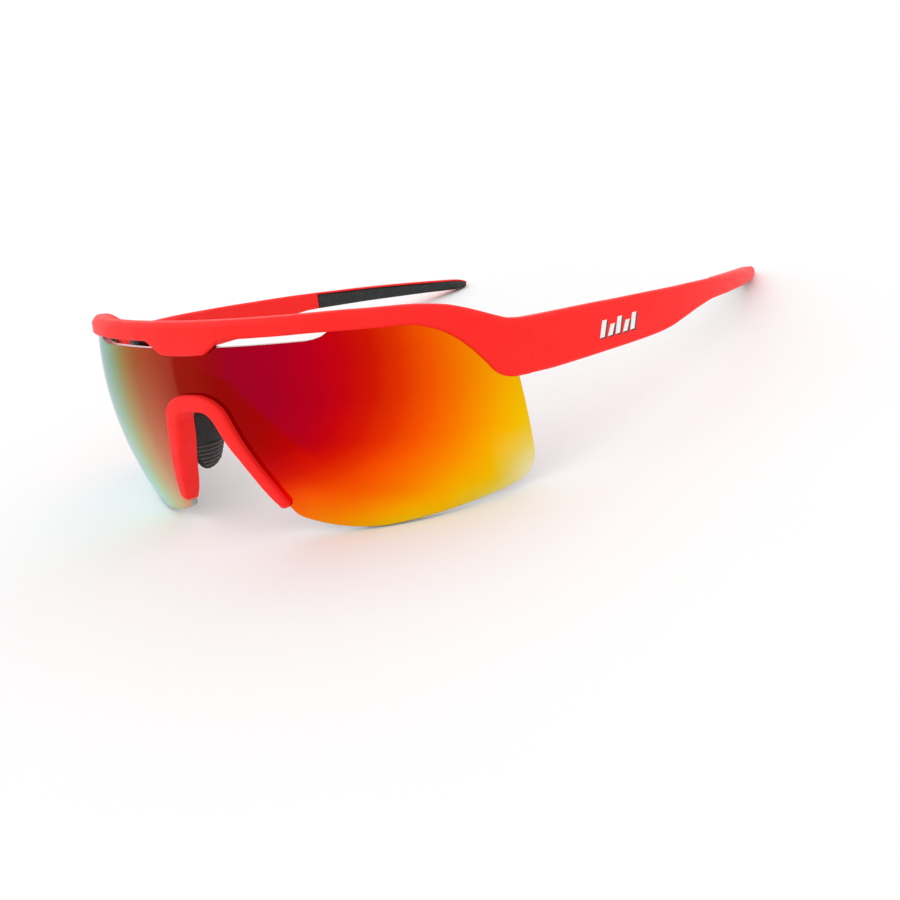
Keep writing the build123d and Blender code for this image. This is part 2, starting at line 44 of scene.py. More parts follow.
# ---------------------------------------------------------------- resting pose of the CAD model
TILT = math.radians(13.351)
CT, ST = cos(TILT), sin(TILT)
SHIFT_Y, SHIFT_Z = -73.609, 51.786


def turn(v):
    return Vector((v[0], v[1] * CT + v[2] * ST, -v[1] * ST + v[2] * CT))


def rest(p):
    q = turn(p)
    return Vector((q[0], q[1] + SHIFT_Y, q[2] + SHIFT_Z)) / 1000


# ---------------------------------------------------------------- camera
az, el, ro = math.radians(41.882), math.radians(11.719), math.radians(-7.432)
fwd = Vector((-sin(az) * cos(el), cos(az) * cos(el), -sin(el)))
rgt = Vector((cos(az), sin(az), 0))
upv = rgt.cross(fwd)
r2 = rgt * cos(ro) + upv * sin(ro)
u2 = -rgt * sin(ro) + upv * cos(ro)
cam = bpy.data.cameras.new("camera")
cam.sensor_width = 36
cam.lens = 1556.286 / 900 * 36
cam.clip_start, cam.clip_end = 0.01, 20
cam_o = bpy.data.objects.new("camera", cam)
scene.collection.objects.link(cam_o)
R, U, F = turn(r2), turn(u2), turn(fwd)
m = Matrix((R, U, -F)).transposed().to_4x4()
m.translation = rest((267.072, -213.806, 33.995))
cam_o.matrix_world = m
scene.camera = cam_o

# ---------------------------------------------------------------- light
world = bpy.data.worlds.new("studio")
scene.world = world
world.use_nodes = True
bg = world.node_tree.nodes["Background"]
bg.inputs["Color"].default_value = (1, 1, 1, 1)
bg.inputs["Strength"].default_value = 1.06
scene.view_settings.view_transform = "Standard"


# ---------------------------------------------------------------- numbers of the CAD model (mm)
def slopes(xs, ys):
    h = [xs[i + 1] - xs[i] for i in range(len(xs) - 1)]
    d = [(ys[i + 1] - ys[i]) / h[i] for i in range(len(h))]
    mm = [d[0]]
    for i in range(1, len(h)):
        if d[i - 1] * d[i] <= 0:
            mm.append(0.0)
        else:
            w1, w2 = 2 * h[i] + h[i - 1], h[i] + 2 * h[i - 1]
            mm.append((w1 + w2) / (w1 / d[i - 1] + w2 / d[i]))
    mm.append(d[-1])
    return mm


def curve(xs, ys):
    ms = slopes(xs, ys)

    def value(x):
        x = min(max(x, xs[0]), xs[-1])
        i = 0
        while i < len(xs) - 2 and x > xs[i + 1]:
            i += 1
        h = xs[i + 1] - xs[i]
        t = (x - xs[i]) / h
        return ((2 * t**3 - 3 * t**2 + 1) * ys[i] + (t**3 - 2 * t**2 + t) * h * ms[i]
                + (-2 * t**3 + 3 * t**2) * ys[i + 1] + (t**3 - t**2) * h * ms[i + 1])
    return value


def lin(pts):
    xs, ys = [p[0] for p in pts], [p[1] for p in pts]
    return lambda x: float(np.interp(x, xs, ys))


heading_of = curve([0, 12, 24, 36, 48, 60, 70, 80, 94.7, 114.2, 138.6, 163.0, 187.4, 204.9],
                   [0, 6.2, 14.1, 25.2, 36.7, 48.9, 58.7, 67.5, 78.4, 86.0, 93.6, 104.4, 113.9, 120.2])
STEP = 0.1
PATH = [(0.0, 0.0)]
for i in range(int(212 / STEP)):
    ang = math.radians(heading_of((i + 0.5) * STEP))
    PATH.append((PATH[-1][0] + STEP * cos(ang), PATH[-1][1] + STEP * sin(ang)))


def path(s):
    q = abs(s) / STEP
    i = min(int(q), len(PATH) - 2)
    f = q - i
    x = PATH[i][0] + f * (PATH[i + 1][0] - PATH[i][0])
    y = PATH[i][1] + f * (PATH[i + 1][1] - PATH[i][1])
    ang = math.radians(heading_of(abs(s)))
    return (x, y, ang) if s >= 0 else (-x, y, -ang)


JOINT = 81.0
THICK = 1.8
RAKE = tan(math.radians(10.0))
SWELL, BOW = 0.188, 0.0128
face_of = curve([0, 10, 20, 30, 40, 50, 76.5], [-1.75, -1.65, -1.33, -0.83, -0.38, -0.13, 0.0])
lens_end = curve([-52, -41, -36.3, -30, -21, -14, -8, -1], [76.1, 76.4, 77.0, 77.15, 77.0, 76.8, 76.8, 76.8])
f_front = curve([0, 10, 20, 30, 40, 48, 56, 62, 66, 70, 74, 77.5, 80.8], [-0.6, -0.5, -0.2, 0.2, 0.5, 0.7, 1.1, 1.45, 1.65, 1.8, 1.9, 1.95, 1.95])
f_back = curve([0, 10, 20, 30, 40, 48, 56, 62, 70, 80.8], [-4.9, -4.8, -4.5, -4.1, -3.7, -3.3, -2.9, -2.6, -2.45, -2.4])
f_top = curve([0, 12, 20, 30, 40, 50, 55.5, 58.7, 61.9, 65.1, 68.3, 71.5, 74.8, 78.2, 80.8],
              [-0.3, -0.25, -0.2, -0.1, -0.1, -0.35, -0.52, -0.72, -1.11, -1.7, -2.65, -3.87, -5.27, -6.5, -6.87])
f_bottom = curve([0, 10, 20, 30, 35, 43, 49, 55, 57.9, 60.8, 63.7, 66.5, 69.3, 72.0, 73.9, 75.8, 78, 80.8],
                 [-4.5, -4.45, -4.3, -4.18, -4.1, -4.25, -4.44, -4.5, -4.77, -5.69, -7.0, -8.93, -11.64, -14.88, -17.3, -18.4, -18.75, -18.75])
t_out = curve([81, 85, 92, 100, 120, 150, 190, 205], [1.95, 1.6, 1.15, 0.8, 0.25, 0.15, 0.2, 0.1])
t_in = curve([81, 88, 94, 100, 110, 130, 150, 156, 170, 190, 200, 205], [-2.4, -2.35, -2.2, -2.0, -1.9, -2.0, -2.3, -2.9, -3.4, -3.6, -3.2, -2.4])
t_top = curve([81, 84, 92, 100, 110, 120, 130, 140, 150, 160, 170, 180, 190, 197, 201, 203.6, 205],
              [-6.9, -6.95, -7.05, -7.2, -7.6, -8.0, -8.5, -8.95, -9.5, -10.1, -10.7, -11.4, -12.2, -12.8, -13.2, -13.7, -14.3])
t_bottom = curve([81, 86, 95, 105, 115, 122, 128, 134, 142, 150, 160, 170, 180, 190, 197, 201, 203.6, 205],
                 [-18.75, -18.8, -18.5, -18.2, -18.0, -17.8, -17.3, -16.3, -15.0, -14.35, -14.6, -14.9, -15.3, -15.7, -16.0, -16.1, -15.95, -15.5])
tab_edge = lin([(0, -7.8), (3.5, -7.75), (6.4, -7.62), (7.4, -7.4), (9.1, -6.45), (11.2, -5.2), (12.9, -4.3), (14.2, -3.7), (90, 40)])
lens_top_edge = lin([(-1, -3.3), (8.3, -3.3), (9.2, -5.9), (10.6, -6.12), (18, -6.0), (24.7, -5.85), (34.5, -5.7), (36.6, -5.48), (38.3, -5.0), (39.8, -4.2), (40.8, -3.1),
                     (50, -3.1), (56, -3.2), (60, -3.7), (64.0, -4.9), (67, -6.6), (69.4, -9.2), (71.2, -12.3), (72.2, -14.6), (73.2, -16.0), (75, -16.8), (80, -17.4)])
lens_low_edge = lin([(0, -18.6), (3.0, -18.7), (4.6, -19.0), (5.8, -19.5), (6.8, -20.3), (7.6, -21.4), (8.2, -22.7), (8.8, -24.4), (9.3, -26.1), (9.8, -27.6), (10.5, -29.1),
                     (11.4, -30.8), (12.4, -32.4), (14.4, -36.6), (16.6, -41.0), (17.5, -43.0), (18.2, -44.4), (18.8, -45.2), (20.0, -45.9), (21.9, -46.5), (25.2, -47.3), (28.9, -47.95), (32.7, -48.35),
                     (36.4, -48.5), (40.1, -48.45), (43.8, -48.05), (47.4, -47.5), (54.5, -46.3), (61.6, -44.8), (68.8, -43.15), (72.5, -41.98),
                     (74.0, -41.25), (75.1, -40.4), (75.8, -39.5), (76.4, -38.5), (76.8, -37.3), (77.05, -35.8), (77.12, -34.0)])


def lens_point(s, z, out=0.0):
    x, y, a = path(s)
    dz = -(z + 8)
    n = face_of(abs(s)) + SWELL * dz - BOW * dz * dz / 2 + out
    return np.array([x + n * sin(a), y - n * cos(a) + RAKE * dz, z])


def lens_v(s, z, out=0.0):
    """offset across the bar at which the lens face stands"""
    dz = -(z + 8)
    return face_of(abs(s)) + SWELL * dz - BOW * dz * dz / 2 + out - RAKE * dz * cos(path(s)[2])


def across(s, v, z):
    x, y, a = path(s)
    return np.array([x + v * sin(a), y - v * cos(a), z])


# ---------------------------------------------------------------- mesh tools
def rounded(pts, radii, k=4):
    """closed outline (2-D or 3-D) with its corners rounded, the same count of points every time"""
    pts = [np.array(p, float) for p in pts]
    n = len(pts)
    out = []
    for i in range(n):
        p, a, b = pts[i], pts[i - 1] - pts[i], pts[(i + 1) % n] - pts[i]
        la, lb = np.linalg.norm(a), np.linalg.norm(b)
        ca = float(np.clip(a @ b / (la * lb + 1e-12), -1, 1))
        half = max(math.acos(ca) / 2, 0.05)
        t = min(radii[i] / tan(half) if half < 1.5 else 0.2 * min(la, lb), 0.46 * la, 0.46 * lb)
        A, B = p + a / (la + 1e-12) * t, p + b / (lb + 1e-12) * t
        w = max(sin(half), 0.35)
        for j in range(k + 1):
            u = j / k
            c0, c1, c2 = (1 - u) ** 2, 2 * u * (1 - u) * w, u * u
            out.append((c0 * A + c1 * p + c2 * B) / (c0 + c1 + c2))
    return out


def inset(loop, dist):
    """loop drawn in by dist in its own plane"""
    P = np.array(loop)
    nrm = np.zeros(3)
    c = P.mean(0)
    for i in range(len(P)):
        nrm += np.cross(P[i - 1] - c, P[i] - c)
    nrm /= np.linalg.norm(nrm)
    e = np.roll(P, -1, 0) - P
    e /= np.linalg.norm(e, axis=1)[:, None] + 1e-12
    inw = np.cross(nrm, e)
    v = inw + np.roll(inw, 1, 0)
    v /= np.linalg.norm(v, axis=1)[:, None] + 1e-12
    return P + v * dist


def build(name, verts, faces, mats, body, replaces=(), smooth=38, face_mat=None, uvs=None):
    me = bpy.data.meshes.new(name)
    me.from_pydata([tuple(rest(v)) for v in verts], [], faces)
    for mt in mats:
        me.materials.append(mt)
    if face_mat is not None:
        for p, k in zip(me.polygons, face_mat):
            p.material_index = k
    if uvs is not None:
        idx = np.zeros(len(me.loops), dtype=np.int32)
        me.loops.foreach_get("vertex_index", idx)
        table = np.array(uvs, dtype=np.float32)[idx]
        for k, nm in enumerate(("field", "band")):
            layer = me.uv_layers.new(name=nm)
            layer.data.foreach_set("uv", np.ascontiguousarray(table[:, 2 * k:2 * k + 2]).ravel())
    bm = bmesh.new()
    bm.from_mesh(me)
    bmesh.ops.remove_doubles(bm, verts=bm.verts, dist=2e-7)
    bmesh.ops.dissolve_degenerate(bm, edges=bm.edges, dist=1e-7)
    bmesh.ops.recalc_face_normals(bm, faces=bm.faces)
    bm.to_mesh(me)
    bm.free()
    me.shade_smooth()
    me.set_sharp_from_angle(angle=math.radians(smooth))
    o = bpy.data.objects.new(name, me)
    scene.collection.objects.link(o)
    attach(o, body)
    if replaces:
        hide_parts(*replaces)
    return o


def loft(rings, verts, faces):
    """closed rings joined into a tube with capped ends"""
    n = len(rings[0])
    base = len(verts)
    for r in rings:
        verts.extend([np.array(p) for p in r])
    for i in range(len(rings) - 1):
        for j in range(n):
            a, b = base + i * n + j, base + i * n + (j + 1) % n
            faces.append((a, b, b + n, a + n))
    faces.append(tuple(base + j for j in range(n))[::-1])
    faces.append(tuple(base + (len(rings) - 1) * n + j for j in range(n)))


def tube(stations, ring, r0, r1, steps=4):
    """rings along stations, both ends rounded over by r0 and r1"""
    first, last = stations[0], stations[-1]
    out = []
    for i in range(steps):
        th = i / steps * pi / 2
        out.append(inset(ring(first + r0 * (1 - cos(th))), r0 * (1 - sin(th))))
    out += [ring(s) for s in stations if first + r0 <= s <= last - r1]
    for i in range(steps - 1, -1, -1):
        th = i / steps * pi / 2
        out.append(inset(ring(last - r1 * (1 - cos(th))), r1 * (1 - sin(th))))
    return out


def frange(a, b, step):
    n = max(1, int(round((b - a) / step)))
    return [a + (b - a) * i / n for i in range(n + 1)]


# ---------------------------------------------------------------- materials
def srgb(c):
    return tuple((v / 12.92 if v <= 0.04045 else ((v + 0.055) / 1.055) ** 2.4) for v in (x / 255 for x in c))


class Mat:
    def __init__(self, name):
        self.m = bpy.data.materials.new(name)
        self.m.use_nodes = True
        self.t = self.m.node_tree
        self.b = self.t.nodes["Principled BSDF"]
        self.coord = self.node("ShaderNodeTexCoord")

    def node(self, kind, **kw):
        n = self.t.nodes.new(kind)
        for k, v in kw.items():
            setattr(n, k, v)
        return n

    def link(self, a, b):
        self.t.links.new(a, b)

    def mapped(self, scale):
        mp = self.node("ShaderNodeMapping")
        mp.inputs["Scale"].default_value = scale
        self.link(self.coord.outputs["Object"], mp.inputs["Vector"])
        return mp.outputs["Vector"]

    def noise(self, scale, detail=3.0, rough=0.55, stretch=None):
        n = self.node("ShaderNodeTexNoise")
        n.inputs["Scale"].default_value = scale
        n.inputs["Detail"].default_value = detail
        n.inputs["Roughness"].default_value = rough
        self.link(self.mapped(stretch) if stretch else self.coord.outputs["Object"], n.inputs["Vector"])
        return n.outputs["Fac"]

    def ramp(self, src, stops, mode="LINEAR"):
        r = self.node("ShaderNodeValToRGB")
        r.color_ramp.interpolation = mode
        e = r.color_ramp.elements
        while len(e) > 1:
            e.remove(e[-1])
        e[0].position, e[0].color = stops[0][0], (*stops[0][1], 1)
        for p, c in stops[1:]:
            x = e.new(p)
            x.color = (*c, 1)
        self.link(src, r.inputs["Fac"])
        return r.outputs["Color"]

    def mix(self, fac, a, b, blend="MIX"):
        n = self.node("ShaderNodeMix", data_type="RGBA", blend_type=blend)
        for sock, val in ((n.inputs[0], fac), (n.inputs[6], a), (n.inputs[7], b)):
            if isinstance(val, (int, float)):
                sock.default_value = val
            elif isinstance(val, tuple):
                sock.default_value = (*val, 1)
            else:
                self.link(val, sock)
        return n.outputs[2]

    def span(self, src, a, b):
        n = self.node("ShaderNodeMapRange")
        n.inputs["From Min"].default_value, n.inputs["From Max"].default_value = 0.3, 0.7
        n.inputs["To Min"].default_value, n.inputs["To Max"].default_value = a, b
        self.link(src, n.inputs["Value"])
        return n.outputs["Result"]

    def bump(self, src, strength, dist, prev=None):
        n = self.node("ShaderNodeBump")
        n.inputs["Strength"].default_value = strength
        n.inputs["Distance"].default_value = dist
        self.link(src, n.inputs["Height"])
        if prev is not None:
            self.link(prev, n.inputs["Normal"])
        self.link(n.outputs["Normal"], self.b.inputs["Normal"])
        return n.outputs["Normal"]


def red_plastic(name):
    M = Mat(name)
    tone = M.noise(140, 4)
    grain = M.noise(5200, 2)
    base = M.mix(M.span(tone, 0, 1), (0.95, 0.017, 0.015), (1.0, 0.022, 0.019))
    # painted highlight: convex edges, found by pointiness, are mixed toward a lighter red
    geo = M.node("ShaderNodeNewGeometry")
    edge = M.ramp(geo.outputs["Pointiness"], [(0.0, (0, 0, 0)), (0.535, (0, 0, 0)), (0.60, (0.25, 0.25, 0.25))])
    painted_edge_highlight = M.mix(edge, base, (1.0, 0.060, 0.055))
    M.link(painted_edge_highlight, M.b.inputs["Base Color"])
    M.link(M.span(M.noise(420, 5), 0.40, 0.52), M.b.inputs["Roughness"])
    M.b.inputs["Specular IOR Level"].default_value = 0.13
    n = M.bump(grain, 0.16, 0.00004)
    M.bump(M.noise(900, 3), 0.05, 0.00012, n)
    return M.m


Q0, Q1 = -80.0, 100.0


def lens_front(name):
    M = Mat(name)
    uv = M.node("ShaderNodeUVMap", uv_map="field")
    sep = M.node("ShaderNodeSeparateXYZ")
    M.link(uv.outputs["UV"], sep.inputs["Vector"])
    wob = M.noise(38, 2, 0.4)
    off = M.node("ShaderNodeMath", operation="MULTIPLY_ADD")
    M.link(wob, off.inputs[0])
    off.inputs[1].default_value = 0.016
    off.inputs[2].default_value = -0.008
    add = M.node("ShaderNodeMath", operation="ADD")
    M.link(sep.outputs["X"], add.inputs[0])
    M.link(off.outputs[0], add.inputs[1])
    # mirror colours laid by place along the lens: the coating's own tint together with painted reflection colour; the
    # pale teal at the far limb and the dark red behind the tab are painted reflection
    stops = [(-80, (92, 150, 168)), (-64, (118, 182, 190)), (-53, (150, 205, 206)), (-48, (142, 200, 198)), (-44, (130, 190, 186)), (-40, (128, 190, 180)), (-36, (138, 186, 162)),
             (-32, (142, 168, 120)), (-28, (152, 140, 80)), (-25, (162, 118, 52)), (-20, (164, 84, 34)), (-16, (168, 72, 34)), (-12, (166, 60, 34)), (-5.4, (160, 46, 28)), (-4.2, (150, 22, 8)), (2, (151, 15, 4)),
             (9, (152, 6, 18)), (14, (155, 2, 32)), (26, (164, 1, 34)), (36, (180, 1, 26)), (42, (198, 5, 14)), (48, (216, 25, 4)), (54, (236, 55, 2)),
             (60, (252, 90, 1)), (66, (255, 124, 1)), (71, (255, 152, 1)), (76, (253, 178, 1)), (81, (246, 198, 6)), (86, (236, 206, 52)), (92, (234, 219, 128)), (98, (236, 229, 182))]
    col = M.ramp(add.outputs[0], [((q - Q0) / (Q1 - Q0), srgb(c)) for q, c in stops])
    # painted reflection: a darker band of colour round the nose bridge and under the tab
    dark = [(-12, (152, 22, 8)), (0, (150, 17, 3)), (9, (147, 6, 3)), (14, (150, 4, 3)), (26, (163, 3, 3)), (36, (186, 3, 2)), (42, (208, 14, 1)), (48, (222, 30, 1)), (54, (240, 58, 1)), (62, (254, 96, 1)), (72, (255, 150, 1))]
    band = M.ramp(add.outputs[0], [((q - Q0) / (Q1 - Q0), srgb(c)) for q, c in dark])
    uvb = M.node("ShaderNodeUVMap", uv_map="band")
    sepb = M.node("ShaderNodeSeparateXYZ")
    M.link(uvb.outputs["UV"], sepb.inputs["Vector"])
    col = M.mix(sepb.outputs["X"], col, band)
    # painted reflection of the pale surroundings: colour mixed toward a pale grey-white on the lower far lobe and the
    # lower corner of the near lobe
    pale = M.mix(sep.outputs["Y"], col, srgb((236, 240, 228)))
    # painted light and shade: the mirror's colour is multiplied by the shade factor
    shade = M.node("ShaderNodeCombineXYZ")
    for k in range(3):
        M.link(sepb.outputs["Y"], shade.inputs[k])
    M.link(M.mix(1.0, pale, shade.outputs["Vector"], "MULTIPLY"), M.b.inputs["Base Color"])
    M.b.inputs["Metallic"].default_value = 1.0
    M.b.inputs["Specular Tint"].default_value = (0.72, 0.72, 0.72, 1)
    M.link(M.span(M.noise(90, 4), 0.10, 0.17), M.b.inputs["Roughness"])
    M.bump(M.noise(60, 2), 0.02, 0.0002)
    return M.m


def smoke(name, col, lo, hi):
    M = Mat(name)
    M.link(M.mix(M.span(M.noise(70, 4), 0, 1), col, tuple(c * 1.35 for c in col)), M.b.inputs["Base Color"])
    M.link(M.span(M.noise(160, 4), lo, hi), M.b.inputs["Roughness"])
    M.bump(M.noise(300, 3), 0.03, 0.00005)
    return M.m


def rubber(name, dots, tint):
    M = Mat(name)
    speck = M.ramp(M.noise(3400, 2, 0.6), [(0.0, tuple(c * 0.5 for c in tint)), (0.50, tint), (0.60, tuple(c * (1 + dots) for c in tint)), (0.72, tuple(c * (1 + 3.2 * dots) for c in tint))])
    tone = M.mix(M.span(M.noise(220, 4), 0, 1), speck, tint)
    M.link(tone, M.b.inputs["Base Color"])
    M.link(M.span(M.noise(700, 4), 0.62, 0.85), M.b.inputs["Roughness"])
    M.b.inputs["Specular IOR Level"].default_value = 0.35
    n = M.bump(M.noise(3400, 3), 0.35, 0.00008)
    M.bump(M.noise(800, 3), 0.12, 0.00015, n)
    return M.m


def steel(name):
    M = Mat(name)
    streak = M.noise(1.0, 3, 0.6, stretch=(400, 9000, 9000))
    M.link(M.mix(M.span(streak, 0, 1), (0.075, 0.075, 0.078), (0.15, 0.15, 0.155)), M.b.inputs["Base Color"])
    M.b.inputs["Metallic"].default_value = 1.0
    M.link(M.span(M.noise(900, 4), 0.22, 0.40), M.b.inputs["Roughness"])
    M.bump(streak, 0.08, 0.00003)
    return M.m


def print_ink(name, a, b, rough):
    M = Mat(name)
    M.link(M.mix(M.span(M.noise(1800, 4), 0, 1), a, b), M.b.inputs["Base Color"])
    M.link(M.span(M.noise(900, 3), rough - 0.06, rough + 0.06), M.b.inputs["Roughness"])
    M.bump(M.noise(4200, 2), 0.10, 0.00003)
    return M.m


RED = red_plastic("frame_red")
FRONT = lens_front("lens_mirror")
BACK = smoke("lens_rear", (0.030, 0.026, 0.024), 0.06, 0.12)
RIM = smoke("lens_rim", (0.60, 0.61, 0.60), 0.12, 0.2)
EDGE = smoke("lens_edge", (0.27, 0.29, 0.25), 0.12, 0.2)
RUB = rubber("rubber_dark", 1.1, (0.021, 0.022, 0.023))
PAD = rubber("rubber_pad", 0.35, (0.022, 0.020, 0.021))
# painted glint: a lighter rubber colour laid on the rib crests
RIB_GLINT = rubber("rubber_rib", 0.35, (0.15, 0.145, 0.145))
STEEL = steel("hinge_steel")
NYLON = print_ink("washer_nylon", (0.70, 0.69, 0.64), (0.84, 0.83, 0.79), 0.45)
WHITE = print_ink("mark_white", (0.80, 0.80, 0.79), (0.90, 0.90, 0.89), 0.40)
BLACK = print_ink("mark_black", (0.012, 0.011, 0.012), (0.03, 0.028, 0.03), 0.45)
by_slot = {"frame_red": RED, "lens_mirror": FRONT, "rubber_dark": RUB, "hinge_steel": STEEL, "washer_nylon": NYLON, "mark_white": WHITE}
slots = {s["node"]: s["material_slot"] for s in frame["record"]["subparts"]}
for n, o in frame["nodes"].items():
    o.data.materials.clear()
    o.data.materials.append(by_slot[slots[n]])
    o.data.shade_smooth()
    o.data.set_sharp_from_angle(angle=math.radians(30))

# ---------------------------------------------------------------- front frame: bar, end pieces and tab in one skin
SEAM = 0.006
bevel_of = curve([0, 66, 80.8], [1.25, 1.2, 0.8])


def bar_ring(s):
    q = abs(s)
    xf, xb, zt, zb = f_front(q), f_back(q), f_top(q), f_bottom(q)
    zf = min(zb, tab_edge(q))
    bv = bevel_of(q)
    drop = max(0.0, zb - zf)
    ztop = lens_top_edge(q) + 0.06
    depth = max(ztop - zb, 0.06) if q < 78 else 0.06
    slot_top = zb + depth
    li, lo = lens_v(s, zf + 0.2, 0.03), lens_v(s, zb, -THICK - 0.05)
    li_top = lens_v(s, slot_top, 0.03)
    lo_top = lens_v(s, slot_top, -THICK - 0.05)
    face_low = xf if drop < 0.01 else xf * (1 - min(drop / 0.6, 1)) + min(drop / 0.6, 1) * max(min(xf, lens_v(s, zf, 1.45) + 0.2), lens_v(s, zf, 1.30))
    pts = [(xb + 0.45, zb), (xb, zb + 0.45), (xb, zt - 0.9), (xb + 0.6, zt), (xf - bv, zt), (xf, zt - bv),
           (face_low, zf + 0.45), (face_low - 0.45, zf), (min(li, face_low - 0.55), zf), (min(li_top, xf - 0.6), slot_top), (max(lo_top, xb + 0.5), slot_top), (max(lo, xb + 0.5), zb)]
    rad = [0.4, 0.4, 0.8, 0.8, 1.3, 1.3, 0.5, 0.5, 0.12, 0.1, 0.1, 0.1]
    return [across(s, v, z) for v, z in rounded(pts, rad, 4)]


verts, faces = [], []
st = sorted(set([round(v, 3) for v in frange(-JOINT + SEAM, JOINT - SEAM, 0.55)]
                + [round(sg * v, 3) for sg in (1, -1) for v in (3.5, 6.4, 6.7, 7.0, 7.4, 8.2, 9.1, 10.1, 11.2, 12.0, 12.6, 12.9, 13.2)]))
loft(tube(st, bar_ring, 0.02, 0.02), verts, faces)
build("front_frame_skin", verts, faces, [RED], "front", ["front_frame"])

# ---------------------------------------------------------------- shield lens
cols = sorted(set([round(v, 3) for v in frange(-77.05, 77.05, 0.6)] + [round(sg * v, 3) for sg in (1, -1) for v in
              list(frange(8.0, 11.0, 0.12)) + list(frange(3.0, 10.5, 0.3)) + list(frange(16, 20, 0.2)) + list(frange(38, 41.4, 0.2)) + list(frange(73.6, 77.1, 0.12))]))
NR = 64
RIMW = 0.22


# places on the mirror's colour ramp, which holds the coating's tint and painted reflection colour; toward the foot of
# the near lobe the place runs further along the ramp
foot_keys = [lin([(14, 54), (18, 56), (24, 59.5), (30, 60.3), (36, 61.5), (42, 64.6), (48, 68.3), (54, 73.7), (60, 78.5), (66, 81.3), (71, 89.0), (75, 96.5), (77, 98)]),
             lin([(14, 62), (18, 64), (24, 66.7), (30, 68.7), (36, 71.5), (42, 75.5), (48, 79), (54, 80.5), (60, 86), (66, 93), (71, 97), (77, 98)])]


def hue_key(s, z):
    if s <= 0:
        return s
    if z < -34:
        if z >= -40:
            f = (-34 - z) / 6
            return hue_key(s, -34) * (1 - f) + foot_keys[0](s) * f
        f = (-40 - z) / 5
        return foot_keys[0](s) * (1 - f) + foot_keys[1](s) * f
    d = -(z + 10)
    A = float(np.interp(d, [-6, 0, 9, 18, 24, 30, 35, 40], [0, 0, 1.5, 5.5, 10.5, 18.5, 24, 30]))
    B = float(np.interp(d, [-6, 0, 9, 18, 24, 30, 35, 40], [0, 0, 0.03, 0.12, 0.3, 0.48, 0.48, 0.48]))
    fade = min(1.0, s / 14) if s < 14 else 1.0
    return s + fade * (A + B * max(0.0, 60 - s))


# amount of painted pale reflection: growing downward on the far lobe, plus a pale edge at the near lobe's lower outer
# corner
def pale_key(s, z):
    d = -(z + 8)
    left = min(1.0, max(0.0, (-s - 4) / 20))
    edge = min(1.0, max(0.0, (s - 67) / 9)) * min(1.0, max(0.0, (d - 22) / 10)) * 0.22
    return max(0.0, min(1.0, left * float(np.interp(d, [0, 8, 20, 32, 38], [0.0, 0.05, 0.09, 0.14, 0.18])) + edge))


def shade_key(s, z):
    """painted light and shade on the mirror: darker near the top of one lobe, lighter near the foot of the other"""
    if s < -4.6:
        w = min(1.0, (-4.6 - s) / 8)
        return 1.0 + w * float(np.interp(z, [-46, -40, -34, -28, -22, -16, -10], [0.95, 0.78, 0.60, 0.40, 0.20, 0.08, 0.0]))
    q = min(1.0, max(0.0, (s - 38) / 10))
    return 1.0 - q * float(np.interp(z, [-45, -34, -22, -10], [-0.03, 0.0, 0.09, 0.16]))


def band_key(s, z):
    """1 inside the darker reflection round the nose bridge and under the tab"""
    edge = float(np.interp(z, [-48, -13, -12, -11], [15 + 32, 12.0, 7.0, 3.0]))
    right = 1 / (1 + math.exp((s - edge) / 0.55))
    left = 1 / (1 + math.exp((-4.6 - s) / 0.28))
    return right * left * (1 / (1 + math.exp((z + 8.5) / 0.8))) * min(1.0, max(0.0, (z + 37) / 7))


grid = []
for s in cols:
    q = abs(s)
    top, low = lens_top_edge(q), lens_low_edge(q)
    grid.append([(s, top + (low - top) * i / NR) for i in range(NR + 1)])
C, Rn = len(grid), NR + 1
loop = [(i, 0) for i in range(C)] + [(C - 1, j) for j in range(1, Rn)] + [(i, Rn - 1) for i in range(C - 2, -1, -1)] + [(0, j) for j in range(Rn - 2, 0, -1)]
LP = np.array([grid[i][j] for i, j in loop])
d = np.roll(LP, -1, 0) - np.roll(LP, 1, 0)
d /= np.linalg.norm(d, axis=1)[:, None] + 1e-12
inw = np.stack([d[:, 1], -d[:, 0]], 1)
inw *= np.sign((inw[0] @ np.array([0, -1])) or 1)
for (i, j), p, w in zip(loop, LP, inw):
    grid[i][j] = (float(p[0] + RIMW * w[0]), float(p[1] + RIMW * w[1]))
verts, faces, fmat, uvs = [], [], [], []


def put(s, z, out):
    verts.append(lens_point(s, z, out))
    uvs.append(((hue_key(s, z) - Q0) / (Q1 - Q0), pale_key(s, z), band_key(s, z), shade_key(s, z)))
    return len(verts) - 1


fr = [[put(s, z, 0.0) for s, z in col] for col in grid]
bk = [[put(s, z, -THICK) for s, z in col] for col in grid]
for i in range(C - 1):
    for j in range(Rn - 1):
        faces.append((fr[i][j], fr[i][j + 1], fr[i + 1][j + 1], fr[i + 1][j])); fmat.append(0)
        faces.append((bk[i][j], bk[i + 1][j], bk[i + 1][j + 1], bk[i][j + 1])); fmat.append(1)
prof = [(RIMW * (1 - sin(t)), -RIMW * (1 - cos(t))) for t in (pi / 6, pi / 3, pi / 2)]
prof += [(w, -THICK - o) for w, o in prof[::-1]]
rings = [[fr[i][j] for i, j in loop]]
for w, o in prof:
    rings.append([put(p[0] + w * q[0], p[1] + w * q[1], o) for p, q in zip(LP, inw)])
rings.append([bk[i][j] for i, j in loop])
for k, (a, b) in enumerate(zip(rings[:-1], rings[1:])):
    for j in range(len(loop)):
        j2 = (j + 1) % len(loop)
        upper = loop[j][1] == 0 and loop[j2][1] == 0 and 10.4 < abs(LP[j][0]) < 38.5
        climb = loop[j][1] == 0 and abs(LP[j][0]) <= 10.4
        faces.append((a[j], a[j2], b[j2], b[j])); fmat.append(0 if k < 2 or (climb and k < 5) else ((2 if upper else 3) if k < 4 else 1))
build("shield_lens_skin", verts, faces, [FRONT, BACK, RIM, EDGE], "front", ["shield_lens"], smooth=50, face_mat=fmat, uvs=uvs)

